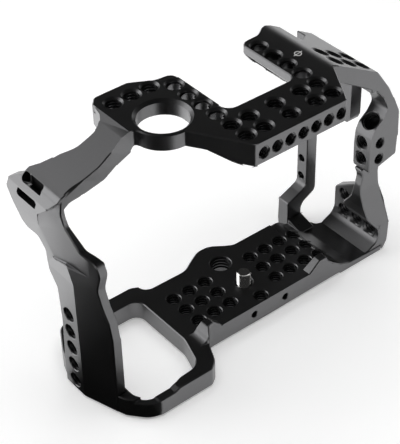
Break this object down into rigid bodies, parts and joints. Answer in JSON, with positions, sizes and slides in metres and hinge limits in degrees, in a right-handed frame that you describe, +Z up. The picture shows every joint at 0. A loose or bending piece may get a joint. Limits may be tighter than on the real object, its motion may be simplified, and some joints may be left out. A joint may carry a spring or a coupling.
{
  "type": "camera cage",
  "caption": "Black machined camera cage: platform with captive camera screw, grip post, top plate with shoe gap and dial opening, sloping port arm and back post.",
  "frame": {"origin": "axis of the tripod screw, on the top face of the platform", "axes": "+X to the camera's port side (away from the grip post), +Y to the camera's back, +Z up"},
  "size_m": [0.162, 0.0699, 0.1135],
  "materials": {
    "black_anodised": "satin black anodised",
    "steel": "black oxide",
    "bright_steel": "bright machined",
    "nylon": "matt"
  },
  "bodies": {
    "frame": {"base_plate": "black_anodised", "grip_arm": "black_anodised", "top_plate": "black_anodised", "port_arm": "black_anodised", "rear_post": "black_anodised", "arm_top_screws": "steel", "port_top_screws": "steel", "arm_base_screws": "steel", "port_base_screws": "steel", "post_top_screws": "steel", "post_foot_screw": "steel", "arm_top_pins": "steel", "port_top_pins": "steel", "arm_base_pins": "steel", "port_base_pins": "steel", "post_top_pin": "steel", "post_foot_pin": "steel"},
    "screw_carrier": {"screw_washer": "nylon"},
    "camera_screw": {"tripod_screw": "bright_steel"}
  },
  "joints": [
    {"name": "screw_travel", "type": "slide", "parent": "frame", "child": "screw_carrier", "axis": [0, 0, -1], "range_m": [0, 0.0056]},
    {"name": "screw_turn", "type": "hinge", "parent": "screw_carrier", "child": "camera_screw", "pos_m": [0, 0, 0], "axis": [0, 0, -1], "range_deg": [0, 1587.39]}
  ],
  "couplings": [
    {"joint": "screw_turn", "follows": "screw_travel", "rad_per_m": 4947.4}
  ]
}
